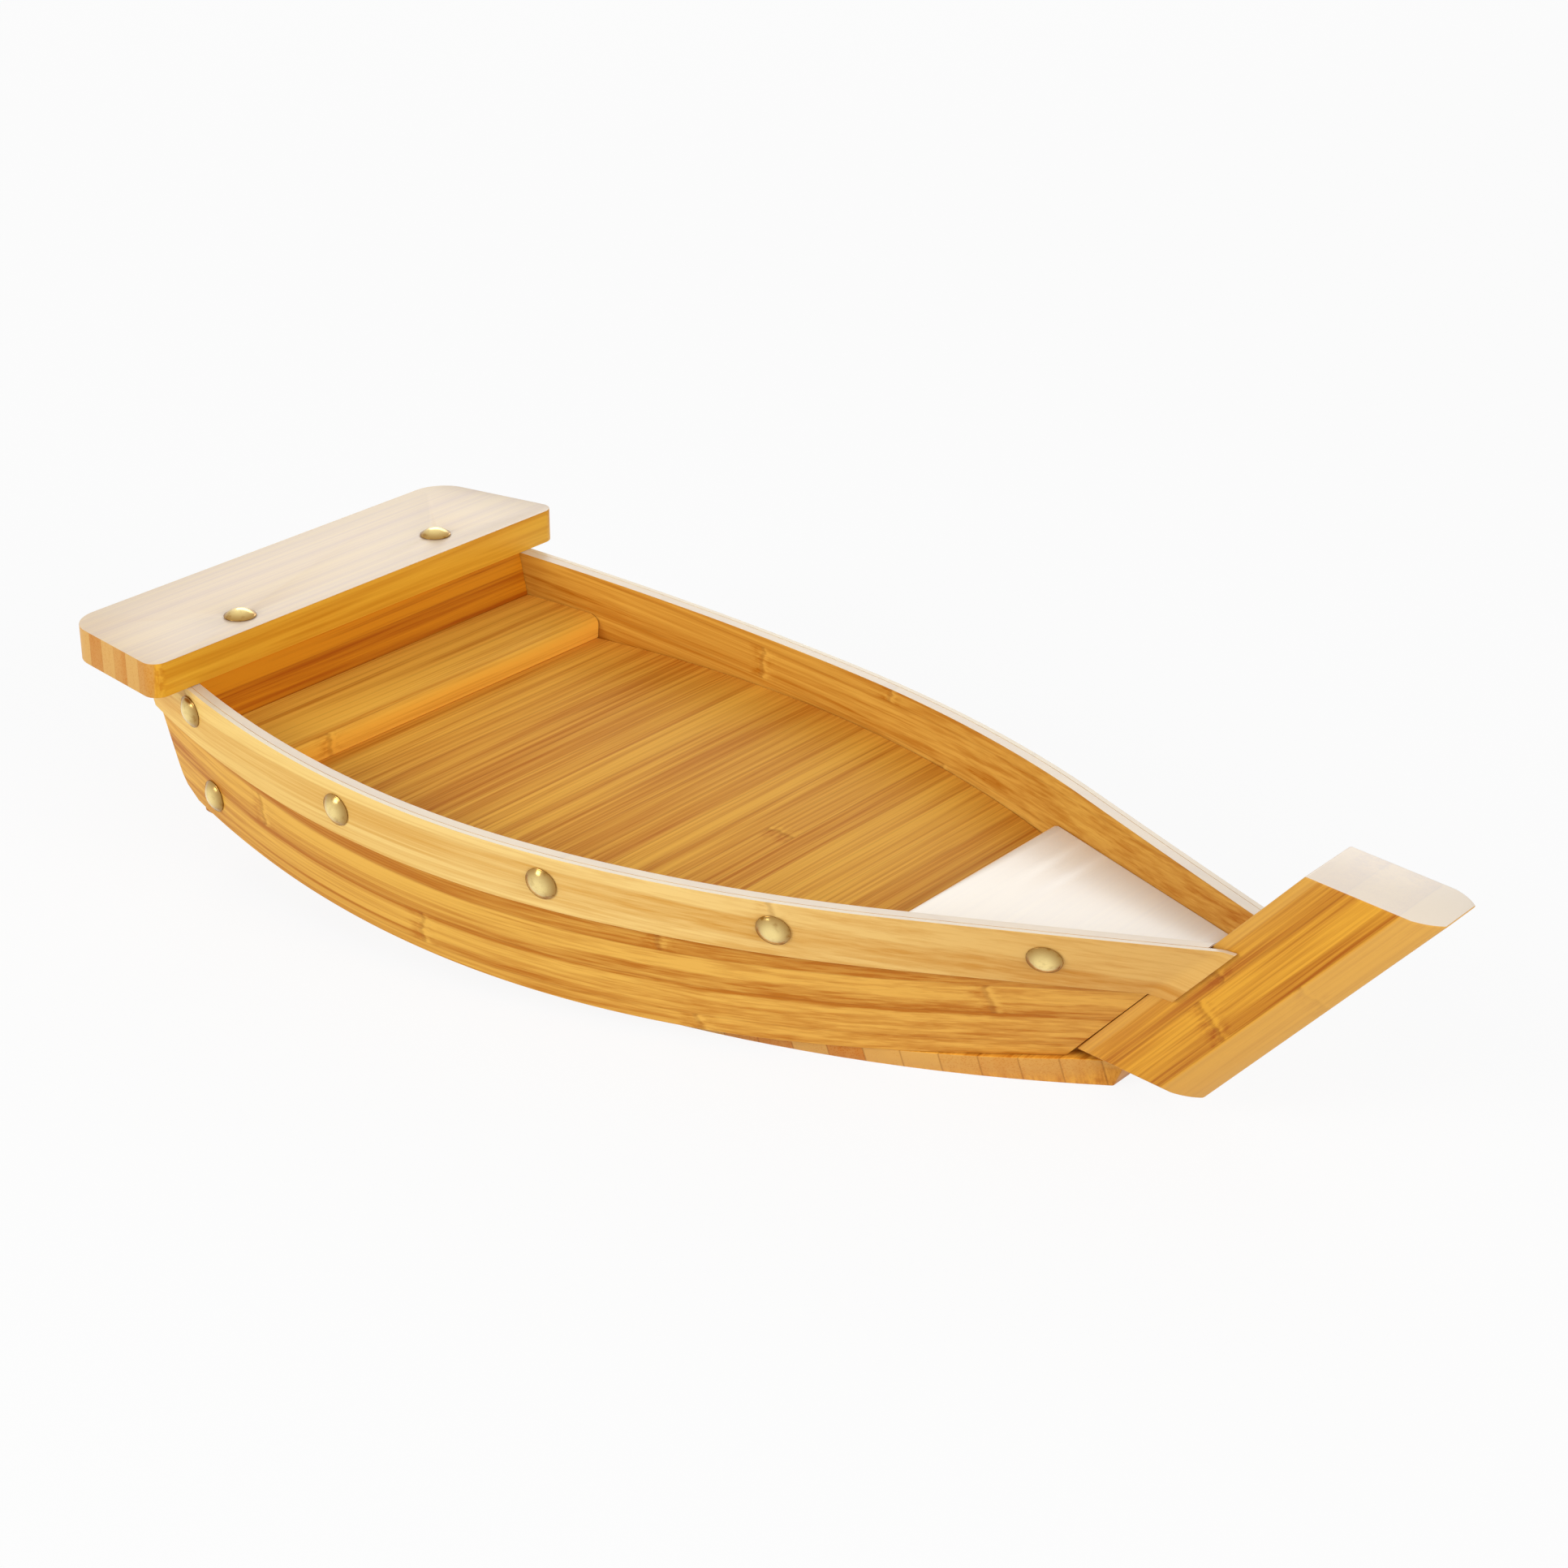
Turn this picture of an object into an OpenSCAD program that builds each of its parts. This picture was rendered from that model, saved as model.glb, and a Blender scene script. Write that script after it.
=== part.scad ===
// Wooden serving boat. Two bent side planks, each with a rubbing strake, meet a raked
// stem at the bow and a raked transom at the stern. Boards make a low deck and two
// raised decks, a cross bar caps the stern, and domed tacks hold the sides.
// X runs along the boat with the bow at +X, Y to port, Z up from the table. All in mm.

/* [Side curve] */
// Outside half width at the widest station
half_beam = 81.6; // [79:0.2:84]
// Station of the widest section
beam_x = -83.4; // [-90:0.2:-76]
// Angle of the straight run to the bow, in degrees
bow_angle = 24.1; // [23.6:0.1:24.6]
// Outside half width of the rim where it meets the stem
bow_half = 14.9; // [14:0.1:16]
// Outward slope of the side at the stern
flare_stern = 0.08; // [0.06:0.01:0.11]
// Outward slope of the side at the stem
flare_bow = 0.535; // [0.5:0.005:0.56]
// Station where the outward slope starts to grow
flare_from = -130; // [-140:1:-120]
// Length over which the outward slope grows
flare_length = 270; // [260:1:280]

/* [Rim and lower edge] */
// Height of the rim at its lowest
sheer_z = 53; // [51:0.5:55]
// Station of the lowest rim
sheer_x = -30; // [-50:1:-10]
// Rise of the rim toward the stern
sheer_stern = 18; // [15:0.5:21]
// Length over which the rim rises toward the stern
sheer_stern_length = 200; // [195:1:205]
// Rise of the rim toward the bow
sheer_bow = 2; // [0:0.5:5]
// Length over which the rim rises toward the bow
sheer_bow_length = 150; // [140:1:160]
// Height of the planks' lower edge at its lowest
keel_z = 4.9; // [3:0.1:7]
// Station of the lowest lower edge
keel_x = 15; // [0:1:30]
// First rise of the lower edge toward the stern
keel_stern = 4.6; // [4:0.1:5.2]
// First rise of the lower edge toward the bow
keel_bow = 5.6; // [5:0.1:6.4]
// Length over which the lower edge makes its first rise
keel_length = 100; // [97:1:103]

/* [Planks and strakes] */
// Thickness of a side plank
plank_t = 3.2; // [2.6:0.1:3.8]
// Thickness of a strake with its glue line
strake_t = 1.7; // [1.4:0.1:2.4]
// Depth of a strake from the rim
strake_h = 17.4; // [14:0.2:20]
// Extra depth of a strake toward the bow
strake_h_bow = 1; // [0:0.1:2.4]
// Length of strake that laps over the side of the stem
strake_lap = 7.2; // [4:0.2:10]
// How far the planks' lower aft corner stands behind the transom's front face
tail_back = 12.8; // [10:0.2:15.6]
// Rake of the planks' aft ends, in degrees
tail_rake = 23; // [18:1:26]
// Rounding of the planks' lower aft corner
tail_round = 14; // [6:0.5:18]

/* [Stem] */
// Thickness of the stem
stem_t = 22.1; // [20:0.1:23]
// Depth of the stem, square to its rake
stem_d = 29.6; // [24:0.2:32]
// Rake of the stem from upright, in degrees
stem_rake = 42.1; // [41:0.1:43]
// Station of the stem's aft lower corner
stem_x = 108.6; // [107:0.2:110]
// Height of the stem's aft lower corner
stem_foot = 11.9; // [11:0.1:13]
// Height of the stem's aft upper corner
stem_top = 82.9; // [76:0.5:90]
// Slope of the stem's end cuts, in degrees
stem_cut = 4.9; // [0:0.1:6]
// Radius of the stem's front corners
stem_nose_r = 11.4; // [11.1:0.1:16]

/* [Stern] */
// Station of the transom's front face, under the bar
transom_x = -164.2; // [-166:0.1:-163.8]
// Rake of the transom from upright, in degrees
transom_rake = 14; // [10:0.5:16]
// Thickness of the transom
transom_t = 19.4; // [17:0.2:21]
// Radius of the transom's lower corners
transom_r = 13; // [10:0.5:16]
// How far the transom's lower corners stand inside the beam
transom_in = 19; // [17:0.5:21]
// Outward slope of the transom's ends
transom_spread = 0.25; // [0.2:0.01:0.3]
// Height of the bar's underside
bar_z = 61.2; // [60.8:0.1:62]
// Thickness of the bar
bar_t = 10.6; // [8:0.1:13]
// How far the bar's aft edge stands behind the transom's front face
bar_back = 45.8; // [42:0.2:49.8]
// Fore and aft size of the bar
bar_d = 46.35; // [43:0.05:50]
// How far the bar's aft corners stand inside the beam
bar_in_aft = 3.8; // [1.6:0.1:6.6]
// How far the bar's fore corners stand out past the beam
bar_out_fore = 3.7; // [0.4:0.1:6.4]
// Rounding of the bar's aft corners
bar_r_aft = 11.5; // [3:0.5:14]
// Rounding of the bar's fore corners
bar_r_fore = 4.5; // [2:0.5:8]

/* [Base] */
// Thickness of the base board
base_t = 11; // [10.8:0.1:11.6]
// How far the widest part of the base board's underside stands inside the beam
base_in = 20.4; // [19.6:0.2:22.6]
// How much tighter the base board's edge is bent than the side, on the radius
base_r_in = 35.2; // [33.2:0.2:37.2]
// Plan radius of the base board toward the stern
base_r_stern = 230; // [220:1:240]
// Station of the base board's greatest width
base_x = -75; // [-78:0.5:-72]
// Station of the base board's bow end on the table
base_bow = 116.2; // [114:0.2:118]
// Outward slope of the base board's edge
base_flare = 0.35; // [0.3:0.01:0.38]
// Rake of the base board's bow end, in degrees
base_rake = 25.5; // [15:0.5:30]
// Inset of the base board where it stands between the planks
base_step = 5.4; // [5.2:0.1:6.4]

/* [Decks] */
// Height of the low deck's top
deck_z = 38.3; // [36:0.1:40]
// Thickness of the low deck
deck_t = 8; // [5:0.5:12]
// Station of the foredeck's rounded edge
fore_x = 61; // [50:1:75]
// Height of the foredeck over the low deck, at its edge
fore_h = 4.5; // [4:0.1:6]
// Slope of the foredeck, rising to the bow
fore_slope = 0.075; // [0.04:0.005:0.09]
// Length of the aft deck, forward of the transom's front face
aft_deck_length = 30.2; // [25.2:0.2:40.2]
// Height of the aft deck over the low deck, at its edge
aft_h = 7.4; // [6:0.1:8]
// Slope of the aft deck, rising to the stern
aft_slope = 0.08; // [0.04:0.005:0.1]
// Rounding of the raised decks' edges
deck_round = 3; // [1:0.5:3.5]

/* [Nails] */
// Diameter of the domed heads
head_d = 9.8; // [8:0.1:12]
// Height of the domed heads
head_h = 2.2; // [1.5:0.1:3]
// Diameter of the shanks
shank_d = 2.2; // [1.6:0.1:2.4]
// Length of the shanks that hold a strake to a plank
tack_len = 3.9; // [3:0.1:4.1]
// Length of the shanks driven into the transom's ends
edge_nail_len = 10; // [8:0.5:11]
// Length of the shanks driven down through the bar
bar_nail_len = 24; // [18:0.5:30]
// Stations of the side tacks
tack_x = [-95, -22, 43.8, 109.2]; // [-120:0.1:112]
// Depth of the side tacks below the rim
tack_drop = 9.0; // [7.6:0.1:9.4]
// How far the aftmost side tack stands before the transom's front face
aft_tack_fore = 0.5; // [-4:0.1:8]
// Depth of the aftmost side tack below the rim
aft_tack_drop = 7.3; // [6.6:0.1:8.4]
// How far the side nails stand behind the transom's front face
edge_nail_back = 3.8; // [3.4:0.1:8]
// Height of the side nails
edge_nail_z = 26.7; // [25:0.1:28]
// How far the starboard and port bar nails stand behind the transom's front face
bar_nail_back = [9.3, 12]; // [8:0.1:13]
// How far the bar nails stand inside the beam
bar_nail_in = 39.1; // [32:0.5:46]

/* [Fits] */
// Clearance between pieces that seat on each other
seat = 0.2; // [0.1:0.05:0.3]
// Clearance around a nail's shank, on the radius
pilot_gap = 0.1; // [0.05:0.05:0.2]

/* [Hidden] */
$fn = 72;

rim_t = plank_t + strake_t;
past = 5 * half_beam;
clear = head_h;
hull_steps = 110;

// Plan radius of the bent side, so that its straight run starts as a tangent and ends at the stem
bow_from_beam = stem_aft(sheer_z + sheer_bow) - beam_x;
side_r = (bow_from_beam * tan(bow_angle) - half_beam + bow_half) / (1 / cos(bow_angle) - 1);
bow_run_x = beam_x + side_r * sin(bow_angle);

bar_x = transom_x - bar_back;
aft_x = transom_x + aft_deck_length;
aft_tack_x = transom_x + aft_tack_fore;
tail_x = transom_x - tail_back;
tail_z = keel(tail_x);
hull_from = tail_end(bar_z) - plank_t;
hull_to = stem_aft(bar_z) + plank_t;
transom_step = transom_t / cos(transom_rake);
transom_half = half_beam - transom_in;
aft_end_x = transom_front(deck_z - deck_t) + seat;
base_half = half_beam - base_in;
base_r_bow = side_r - base_r_in;
nose_share = 0.78;

// Half width of the rim's outside, and how much a square inset widens across the boat
function plan_y(x) = x < bow_run_x
    ? half_beam - side_r + sqrt(pow(side_r, 2) - pow(x - beam_x, 2))
    : half_beam - side_r * (1 - cos(bow_angle)) - (x - bow_run_x) * tan(bow_angle);
function plan_angle(x) = asin((min(x, bow_run_x) - beam_x) / side_r);
function flare(x) = flare_stern
    + (flare_bow - flare_stern) * pow(max(0, x - flare_from) / flare_length, 2);

// Heights along the boat: the rim, the rim cut flat under the bar, the lower edge
function sheer(x) = sheer_z + (x < sheer_x
    ? sheer_stern * pow((sheer_x - x) / sheer_stern_length, 2)
    : sheer_bow * pow((x - sheer_x) / sheer_bow_length, 2));
function rim(x) = min(sheer(x), bar_z);
function keel(x) = keel_z
    + (x < keel_x ? keel_stern : keel_bow) * pow((x - keel_x) / keel_length, 2);
function strake_edge(x) = sheer(x) - strake_h
    - strake_h_bow * pow(max(0, x - sheer_x) / sheer_bow_length, 2);

// Half width of the hull at a station and height, at a depth inside its outer face
function side_y(x, z, inset) = plan_y(x) + flare(x) * (z - sheer(x)) - inset / cos(plan_angle(x));
function inner_y(x, z) = side_y(x, z, rim_t) - seat;

// Raked end planes
function stem_aft(z) = stem_x + (z - stem_foot) * tan(stem_rake);
function transom_front(z) = transom_x + (bar_z - z) * tan(transom_rake);
function tail_end(z) = tail_x - (z - tail_z) * tan(tail_rake);

// Top of the raised decks
function fore_top(x) = deck_z + fore_h + (x - fore_x) * fore_slope;
function aft_top(x) = deck_z + aft_h + (aft_x - x) * aft_slope;

function steps(a, b, n) = [for (i = [0:n]) a + (b - a) * i / n];
function unit(v) = v / norm(v);
function corner(p, a, b, r) =
    let (u = unit(a - p), v = unit(b - p), h = acos(u * v) / 2)
    [p + u * r / tan(h), p + v * r / tan(h), p + unit(u + v) * r / sin(h)];

// Solid through rings of four points that follow one another along X
module loft(rings) {
    last = 4 * (len(rings) - 1);
    sides = [for (i = [0:4:last - 4], j = [0:3])
        let (k = (j + 1) % 4, a = i + j, b = i + 4 + j, c = i + 4 + k, d = i + k)
        each [[a, b, c], [a, c, d]]];
    ends = [[0, 1, 2, 3], [last + 3, last + 2, last + 1, last]];
    polyhedron([for (r = rings) each r], concat(sides, ends));
}

// Ring across the whole boat between two heights; the ends may be raked
function board_ring(xt, zt, xb, zb) = [
    [xt, inner_y(xt, zt), zt], [xt, -inner_y(xt, zt), zt],
    [xb, -inner_y(xb, zb), zb], [xb, inner_y(xb, zb), zb]];

// Flat outline with one rounding radius for each corner
module rounded(points, radii) {
    n = len(points);
    c = [for (i = [0:n - 1])
        corner(points[i], points[(i + n - 1) % n], points[(i + 1) % n], radii[i])];
    polygon([for (i = [0:n - 1]) each (radii[i] > 0 ? [c[i][0], c[i][1]] : [points[i]])]);
    for (i = [0:n - 1]) {
        if (radii[i] > 0) {
            translate(c[i][2]) circle(radii[i]);
        }
    }
}

// Side view of a plank or strake, cut at the tail and along the stem
module side_view(lap, lower_round) {
    tail_slope = -2 * keel_stern * (keel_x - tail_x) / pow(keel_length, 2);
    low = tail_z + tail_slope * (past - tail_x);
    rotate([90, 0, 0])
        linear_extrude(height = 2 * past, center = true)
            rounded([
                [tail_end(past), past], [tail_x, tail_z], [past, low],
                [stem_aft(low) + lap, low], [stem_aft(past) + lap, past]
            ], [0, lower_round, 0, 0, 0]);
}

// Turns a nail that points down so that it enters the port side square to its face
module on_side(x, z, inset) {
    a = plan_angle(x);
    n = [sin(a), cos(a), -flare(x) * cos(a)];
    translate([x, side_y(x, z, inset), z])
        rotate([0, acos(n[2] / norm(n)), atan2(n[1], n[0])])
            children();
}

module both_sides() {
    children();
    mirror([0, 1, 0]) children();
}

module at_tacks() {
    for (x = tack_x) {
        on_side(x, sheer(x) - tack_drop, 0) children();
    }
    on_side(aft_tack_x, sheer(aft_tack_x) - aft_tack_drop, 0) children();
}

module at_edge_nails() {
    on_side(transom_front(edge_nail_z) - edge_nail_back, edge_nail_z, strake_t) children();
}

module at_bar_nails() {
    for (i = [0, 1]) {
        translate([transom_x - bar_nail_back[i], (2 * i - 1) * (half_beam - bar_nail_in),
            bar_z + bar_t])
            children();
    }
}

module nail(len) {
    dome_r = (pow(head_d / 2, 2) + pow(head_h, 2)) / (2 * head_h);
    translate([0, 0, seat / 2]) {
        intersection() {
            translate([0, 0, head_h - dome_r]) sphere(dome_r, $fn = 40);
            cylinder(h = head_h + clear, d = head_d + clear, $fn = 40);
        }
        translate([0, 0, -len]) cylinder(h = len + head_h / 2, d = shank_d, $fn = 24);
    }
}

module pilot(len) {
    translate([0, 0, -len]) {
        cylinder(h = len + clear, r = shank_d / 2 + pilot_gap, $fn = 24);
    }
}

module plank() {
    difference() {
        intersection() {
            loft([for (x = steps(hull_from, hull_to, hull_steps)) [
                [x, side_y(x, rim(x), strake_t), rim(x)],
                [x, side_y(x, rim(x), rim_t), rim(x)],
                [x, side_y(x, keel(x), rim_t), keel(x)],
                [x, side_y(x, keel(x), strake_t), keel(x)]]]);
            side_view(-seat, tail_round);
        }
        at_tacks() pilot(tack_len + seat);
        at_edge_nails() pilot(edge_nail_len + seat);
    }
}

// A strake follows the plank, then bends along the side of the stem
module strake() {
    out = stem_t / 2 + strake_t;
    lap_to = hull_to + strake_lap;
    difference() {
        intersection() {
            loft([for (x = steps(hull_from, lap_to, hull_steps)) let (zb = strake_edge(x)) [
                [x, max(out, side_y(x, rim(x), 0)), rim(x)],
                [x, max(stem_t / 2 + seat, side_y(x, rim(x), strake_t - seat)), rim(x)],
                [x, max(stem_t / 2 + seat, side_y(x, zb, strake_t - seat)), zb],
                [x, max(out, side_y(x, zb, 0)), zb]]]);
            side_view(strake_lap, strake_t);
        }
        at_tacks() pilot(tack_len + seat);
    }
}

module plank_port() {
    color([0.80, 0.55, 0.27]) plank();
}

module plank_starboard() {
    color([0.80, 0.55, 0.27]) mirror([0, 1, 0]) plank();
}

module strake_port() {
    color([0.87, 0.68, 0.38]) strake();
}

module strake_starboard() {
    color([0.87, 0.68, 0.38]) mirror([0, 1, 0]) strake();
}

// Everything above the plane of the stem's foot
module above_foot(gap) {
    translate([stem_x, 0, stem_foot - gap])
        rotate([0, stem_cut, 0])
            translate([-past, -past, 0]) cube([2 * past, 2 * past, past]);
}

module stem() {
    stem_h = (stem_top - stem_foot) / cos(stem_rake);
    color([0.84, 0.60, 0.27])
        intersection() {
            translate([stem_x, 0, stem_foot])
                rotate([0, stem_rake, 0])
                    translate([0, 0, -stem_d])
                        linear_extrude(height = stem_h + 3 * stem_d)
                            intersection() {
                                translate([0, -stem_t / 2]) square([stem_d, stem_t]);
                                translate([stem_d - stem_nose_r * nose_share, 0])
                                    union() {
                                        circle(stem_nose_r);
                                        translate([-stem_d, -stem_t]) square([stem_d, 2 * stem_t]);
                                    }
                            }
            above_foot(0);
            translate([stem_aft(stem_top), 0, stem_top])
                rotate([0, stem_cut, 0])
                    translate([-past, -past, -past]) cube([2 * past, 2 * past, past]);
        }
}

module transom() {
    foot = base_t;
    tall = bar_z - foot;
    color([0.72, 0.45, 0.20])
        difference() {
            intersection() {
                loft([for (x = steps(hull_from, transom_front(foot) + clear, 24))
                    board_ring(x, bar_z, x, foot)]);
                translate([transom_x, 0, bar_z])
                    rotate([0, -transom_rake, 0])
                        translate([-transom_t, -past, -past]) cube([transom_t, 2 * past, 2 * past]);
                translate([-past, 0, 0])
                    rotate([90, 0, 90])
                        linear_extrude(height = past)
                            rounded([
                                [-transom_half, foot], [transom_half, foot],
                                [transom_half + tall * transom_spread, bar_z],
                                [-transom_half - tall * transom_spread, bar_z]
                            ], [transom_r, transom_r, 0, 0]);
            }
            both_sides() at_edge_nails() pilot(edge_nail_len + seat);
            at_bar_nails() pilot(bar_nail_len + seat);
        }
}

module stern_bar() {
    aft_half = half_beam - bar_in_aft;
    fore_half = half_beam + bar_out_fore;
    color([0.92, 0.80, 0.60])
        difference() {
            translate([0, 0, bar_z])
                linear_extrude(height = bar_t)
                    rounded([
                        [bar_x, -aft_half], [bar_x + bar_d, -fore_half],
                        [bar_x + bar_d, fore_half], [bar_x, aft_half]
                    ], [bar_r_aft, bar_r_fore, bar_r_fore, bar_r_aft]);
            at_bar_nails() pilot(bar_nail_len + seat);
        }
}

// Pointed outline with a bevelled edge, from two leaning discs
module base_leaf(r, inset) {
    both = base_half - r;
    intersection_for (side = [-1, 1]) {
        translate([base_x, side * both, 0])
            cylinder(h = base_t, r1 = r - inset, r2 = r - inset + base_t * base_flare, $fn = 360);
    }
}

// Side view of the space over the planks' lower edge, toward the bow
module over_keel() {
    rotate([90, 0, 0])
        linear_extrude(height = 2 * past, center = true)
            polygon(concat(
                [for (x = steps(keel_x, stem_x, 24)) [x, keel(x) - seat]],
                [[past, keel(stem_x) - seat], [past, past], [keel_x, past]]));
}

module base_board() {
    aft = transom_front(base_t) - transom_step;
    color([0.78, 0.55, 0.28])
        difference() {
            union() {
                intersection() {
                    base_leaf(base_r_bow, 0);
                    translate([base_x, -past, 0]) cube([past * 2, past * 2, base_t]);
                }
                intersection() {
                    base_leaf(base_r_stern, 0);
                    translate([aft, -past, 0]) cube([base_x + clear - aft, past * 2, base_t]);
                }
            }
            difference() {
                over_keel();
                base_leaf(base_r_bow, base_step);
            }
            above_foot(seat);
            translate([base_bow, 0, 0])
                rotate([0, base_rake, 0])
                    translate([0, -past, -past]) cube(2 * past);
        }
}

module deck_board() {
    low = deck_z - deck_t;
    to = stem_aft(low) - seat;
    color([0.80, 0.58, 0.32])
        loft([for (x = steps(aft_end_x, to, 44)) board_ring(x, deck_z, x, low)]);
}

module foredeck_board() {
    edge = [for (a = [0:15:75]) [fore_x + deck_round * (1 - cos(a)),
        fore_top(fore_x) - deck_round * (1 - sin(a))]];
    tip_x = (stem_aft(deck_z + fore_h - fore_x * fore_slope) - seat)
        / (1 - fore_slope * tan(stem_rake));
    from = fore_x + deck_round;
    foot_x = stem_aft(deck_z) - seat;
    color([0.90, 0.80, 0.62])
        loft(concat(
            [for (p = edge) board_ring(p[0], p[1], p[0], deck_z)],
            [for (i = [0:24])
                let (xt = from + (tip_x - from) * i / 24, xb = from + (foot_x - from) * i / 24)
                board_ring(xt, fore_top(xt), xb, deck_z)]));
}

module aft_deck_board() {
    edge = [for (a = [75:-15:0]) [aft_x - deck_round * (1 - cos(a)),
        aft_top(aft_x) - deck_round * (1 - sin(a))]];
    tip_x = (transom_front(deck_z + aft_h + aft_x * aft_slope) + seat)
        / (1 - aft_slope * tan(transom_rake));
    from = aft_x - deck_round;
    foot_x = transom_front(deck_z) + seat;
    color([0.84, 0.62, 0.34])
        loft(concat(
            [for (i = [0:6])
                let (xt = tip_x + (from - tip_x) * i / 6, xb = foot_x + (from - foot_x) * i / 6)
                board_ring(xt, aft_top(xt), xb, deck_z)],
            [for (p = edge) board_ring(p[0], p[1], p[0], deck_z)]));
}

module side_tacks() {
    color([0.85, 0.72, 0.38]) both_sides() at_tacks() nail(tack_len);
}

module transom_nails() {
    color([0.85, 0.72, 0.38]) both_sides() at_edge_nails() nail(edge_nail_len);
}

module bar_nails() {
    color([0.85, 0.72, 0.38]) at_bar_nails() nail(bar_nail_len);
}

base_board();
deck_board();
foredeck_board();
aft_deck_board();
plank_port();
plank_starboard();
strake_port();
strake_starboard();
transom();
stern_bar();
stem();
side_tacks();
transom_nails();
bar_nails();
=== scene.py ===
"""A wooden serving boat: its looks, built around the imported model."""
import math

import bmesh
import bpy
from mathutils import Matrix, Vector


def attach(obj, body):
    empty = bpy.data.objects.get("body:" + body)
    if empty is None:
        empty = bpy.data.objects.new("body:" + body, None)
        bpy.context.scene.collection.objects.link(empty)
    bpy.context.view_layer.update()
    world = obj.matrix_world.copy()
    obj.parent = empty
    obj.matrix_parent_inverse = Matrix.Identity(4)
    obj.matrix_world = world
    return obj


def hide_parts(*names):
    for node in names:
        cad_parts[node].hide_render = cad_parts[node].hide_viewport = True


bl_info = {
    "name": "Serving Boat",
    "version": (1, 0, 0),
    "blender": (4, 5, 0),
    "location": "View3D > Sidebar > Serving Boat",
    "description": "Builds a small bamboo serving boat and its plain studio",
    "category": "Object",
}

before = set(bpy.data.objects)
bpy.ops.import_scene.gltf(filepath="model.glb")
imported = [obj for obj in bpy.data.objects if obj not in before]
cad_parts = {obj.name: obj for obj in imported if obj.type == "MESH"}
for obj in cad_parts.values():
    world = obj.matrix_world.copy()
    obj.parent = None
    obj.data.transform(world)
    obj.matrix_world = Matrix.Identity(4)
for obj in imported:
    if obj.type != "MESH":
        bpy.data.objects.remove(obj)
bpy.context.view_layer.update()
MM = 0.001
SIDES = ((1, "port"), (-1, "starboard"))
STERN_RUN = 200 * MM
BOW_RUN = 150 * MM
EDGE_RUN = 100 * MM
FULL_LENGTH = (-0.2, 0.2)
FORE_HALF = (0.05, 0.2)
ACROSS_BOAT = (0, 1, 0)
PLAIN = (1, 1, 1, 1)
GLUE_TINT = (0.5, 0.34, 0.2, 1)
SHARP_EDGE = math.radians(32)
FLAT_JOIN = math.radians(0.4)
WELD_GAP = 0.001 * MM
BEVEL_SEGMENTS = 3
GLUE_GAP = 0.02 * MM
# Share at which the grain changes through a thin board
THROUGH = 0.2

FLOOR_HALF = 6
FLOOR_GREY = 0.86
FLOOR_GLOW = 0.9
AMBIENT = 0.42
# Name, place, width and height, watts, and whether it shows in reflections
LAMPS = (("key", (-0.7, -1.8, 0.8), (1.5, 1.3), 17.0, False),
         ("glint", (-0.7, -1.8, 0.9), (0.7, 0.6), 8.0, True),
         ("fill", (1.9, -0.3, 0.7), (1.2, 1.0), 22.0, False),
         ("back", (-1.3, 1.57, 0.95), (1.5, 0.9), 8.0, True))
LAMP_AIM = Vector((0, 0, 0.04))
CAMERA_PLACE = (0.52705, -0.64603, 0.44408)
CAMERA_TURN = (math.pi / 2 - 0.4390758, 0, 0.6837868)
LENS_MM = 75.81
SENSOR_MM = 36


# Settings

def length(name, description, default):
    """A length property, given in millimetres."""
    return bpy.props.FloatProperty(name=name, description=description, default=default * MM,
                                   unit="LENGTH", precision=4)


def slope(name, description, default):
    """A plain ratio property."""
    return bpy.props.FloatProperty(name=name, description=description, default=default,
                                   precision=4)


def turn(name, description, default):
    """An angle property, given in degrees."""
    return bpy.props.FloatProperty(name=name, description=description,
                                   default=math.radians(default), subtype="ANGLE")


def colour(name, description, red, green, blue):
    """A colour property, given in display values from 0 to 255."""
    return bpy.props.FloatVectorProperty(
        name=name, description=description, subtype="COLOR", size=4, min=0, max=1,
        default=(linear(red), linear(green), linear(blue), 1))


def linear(value):
    """Display value from 0 to 255 as linear light."""
    v = value / 255
    return v / 12.92 if v <= 0.04045 else ((v + 0.055) / 1.055) ** 2.4


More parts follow.
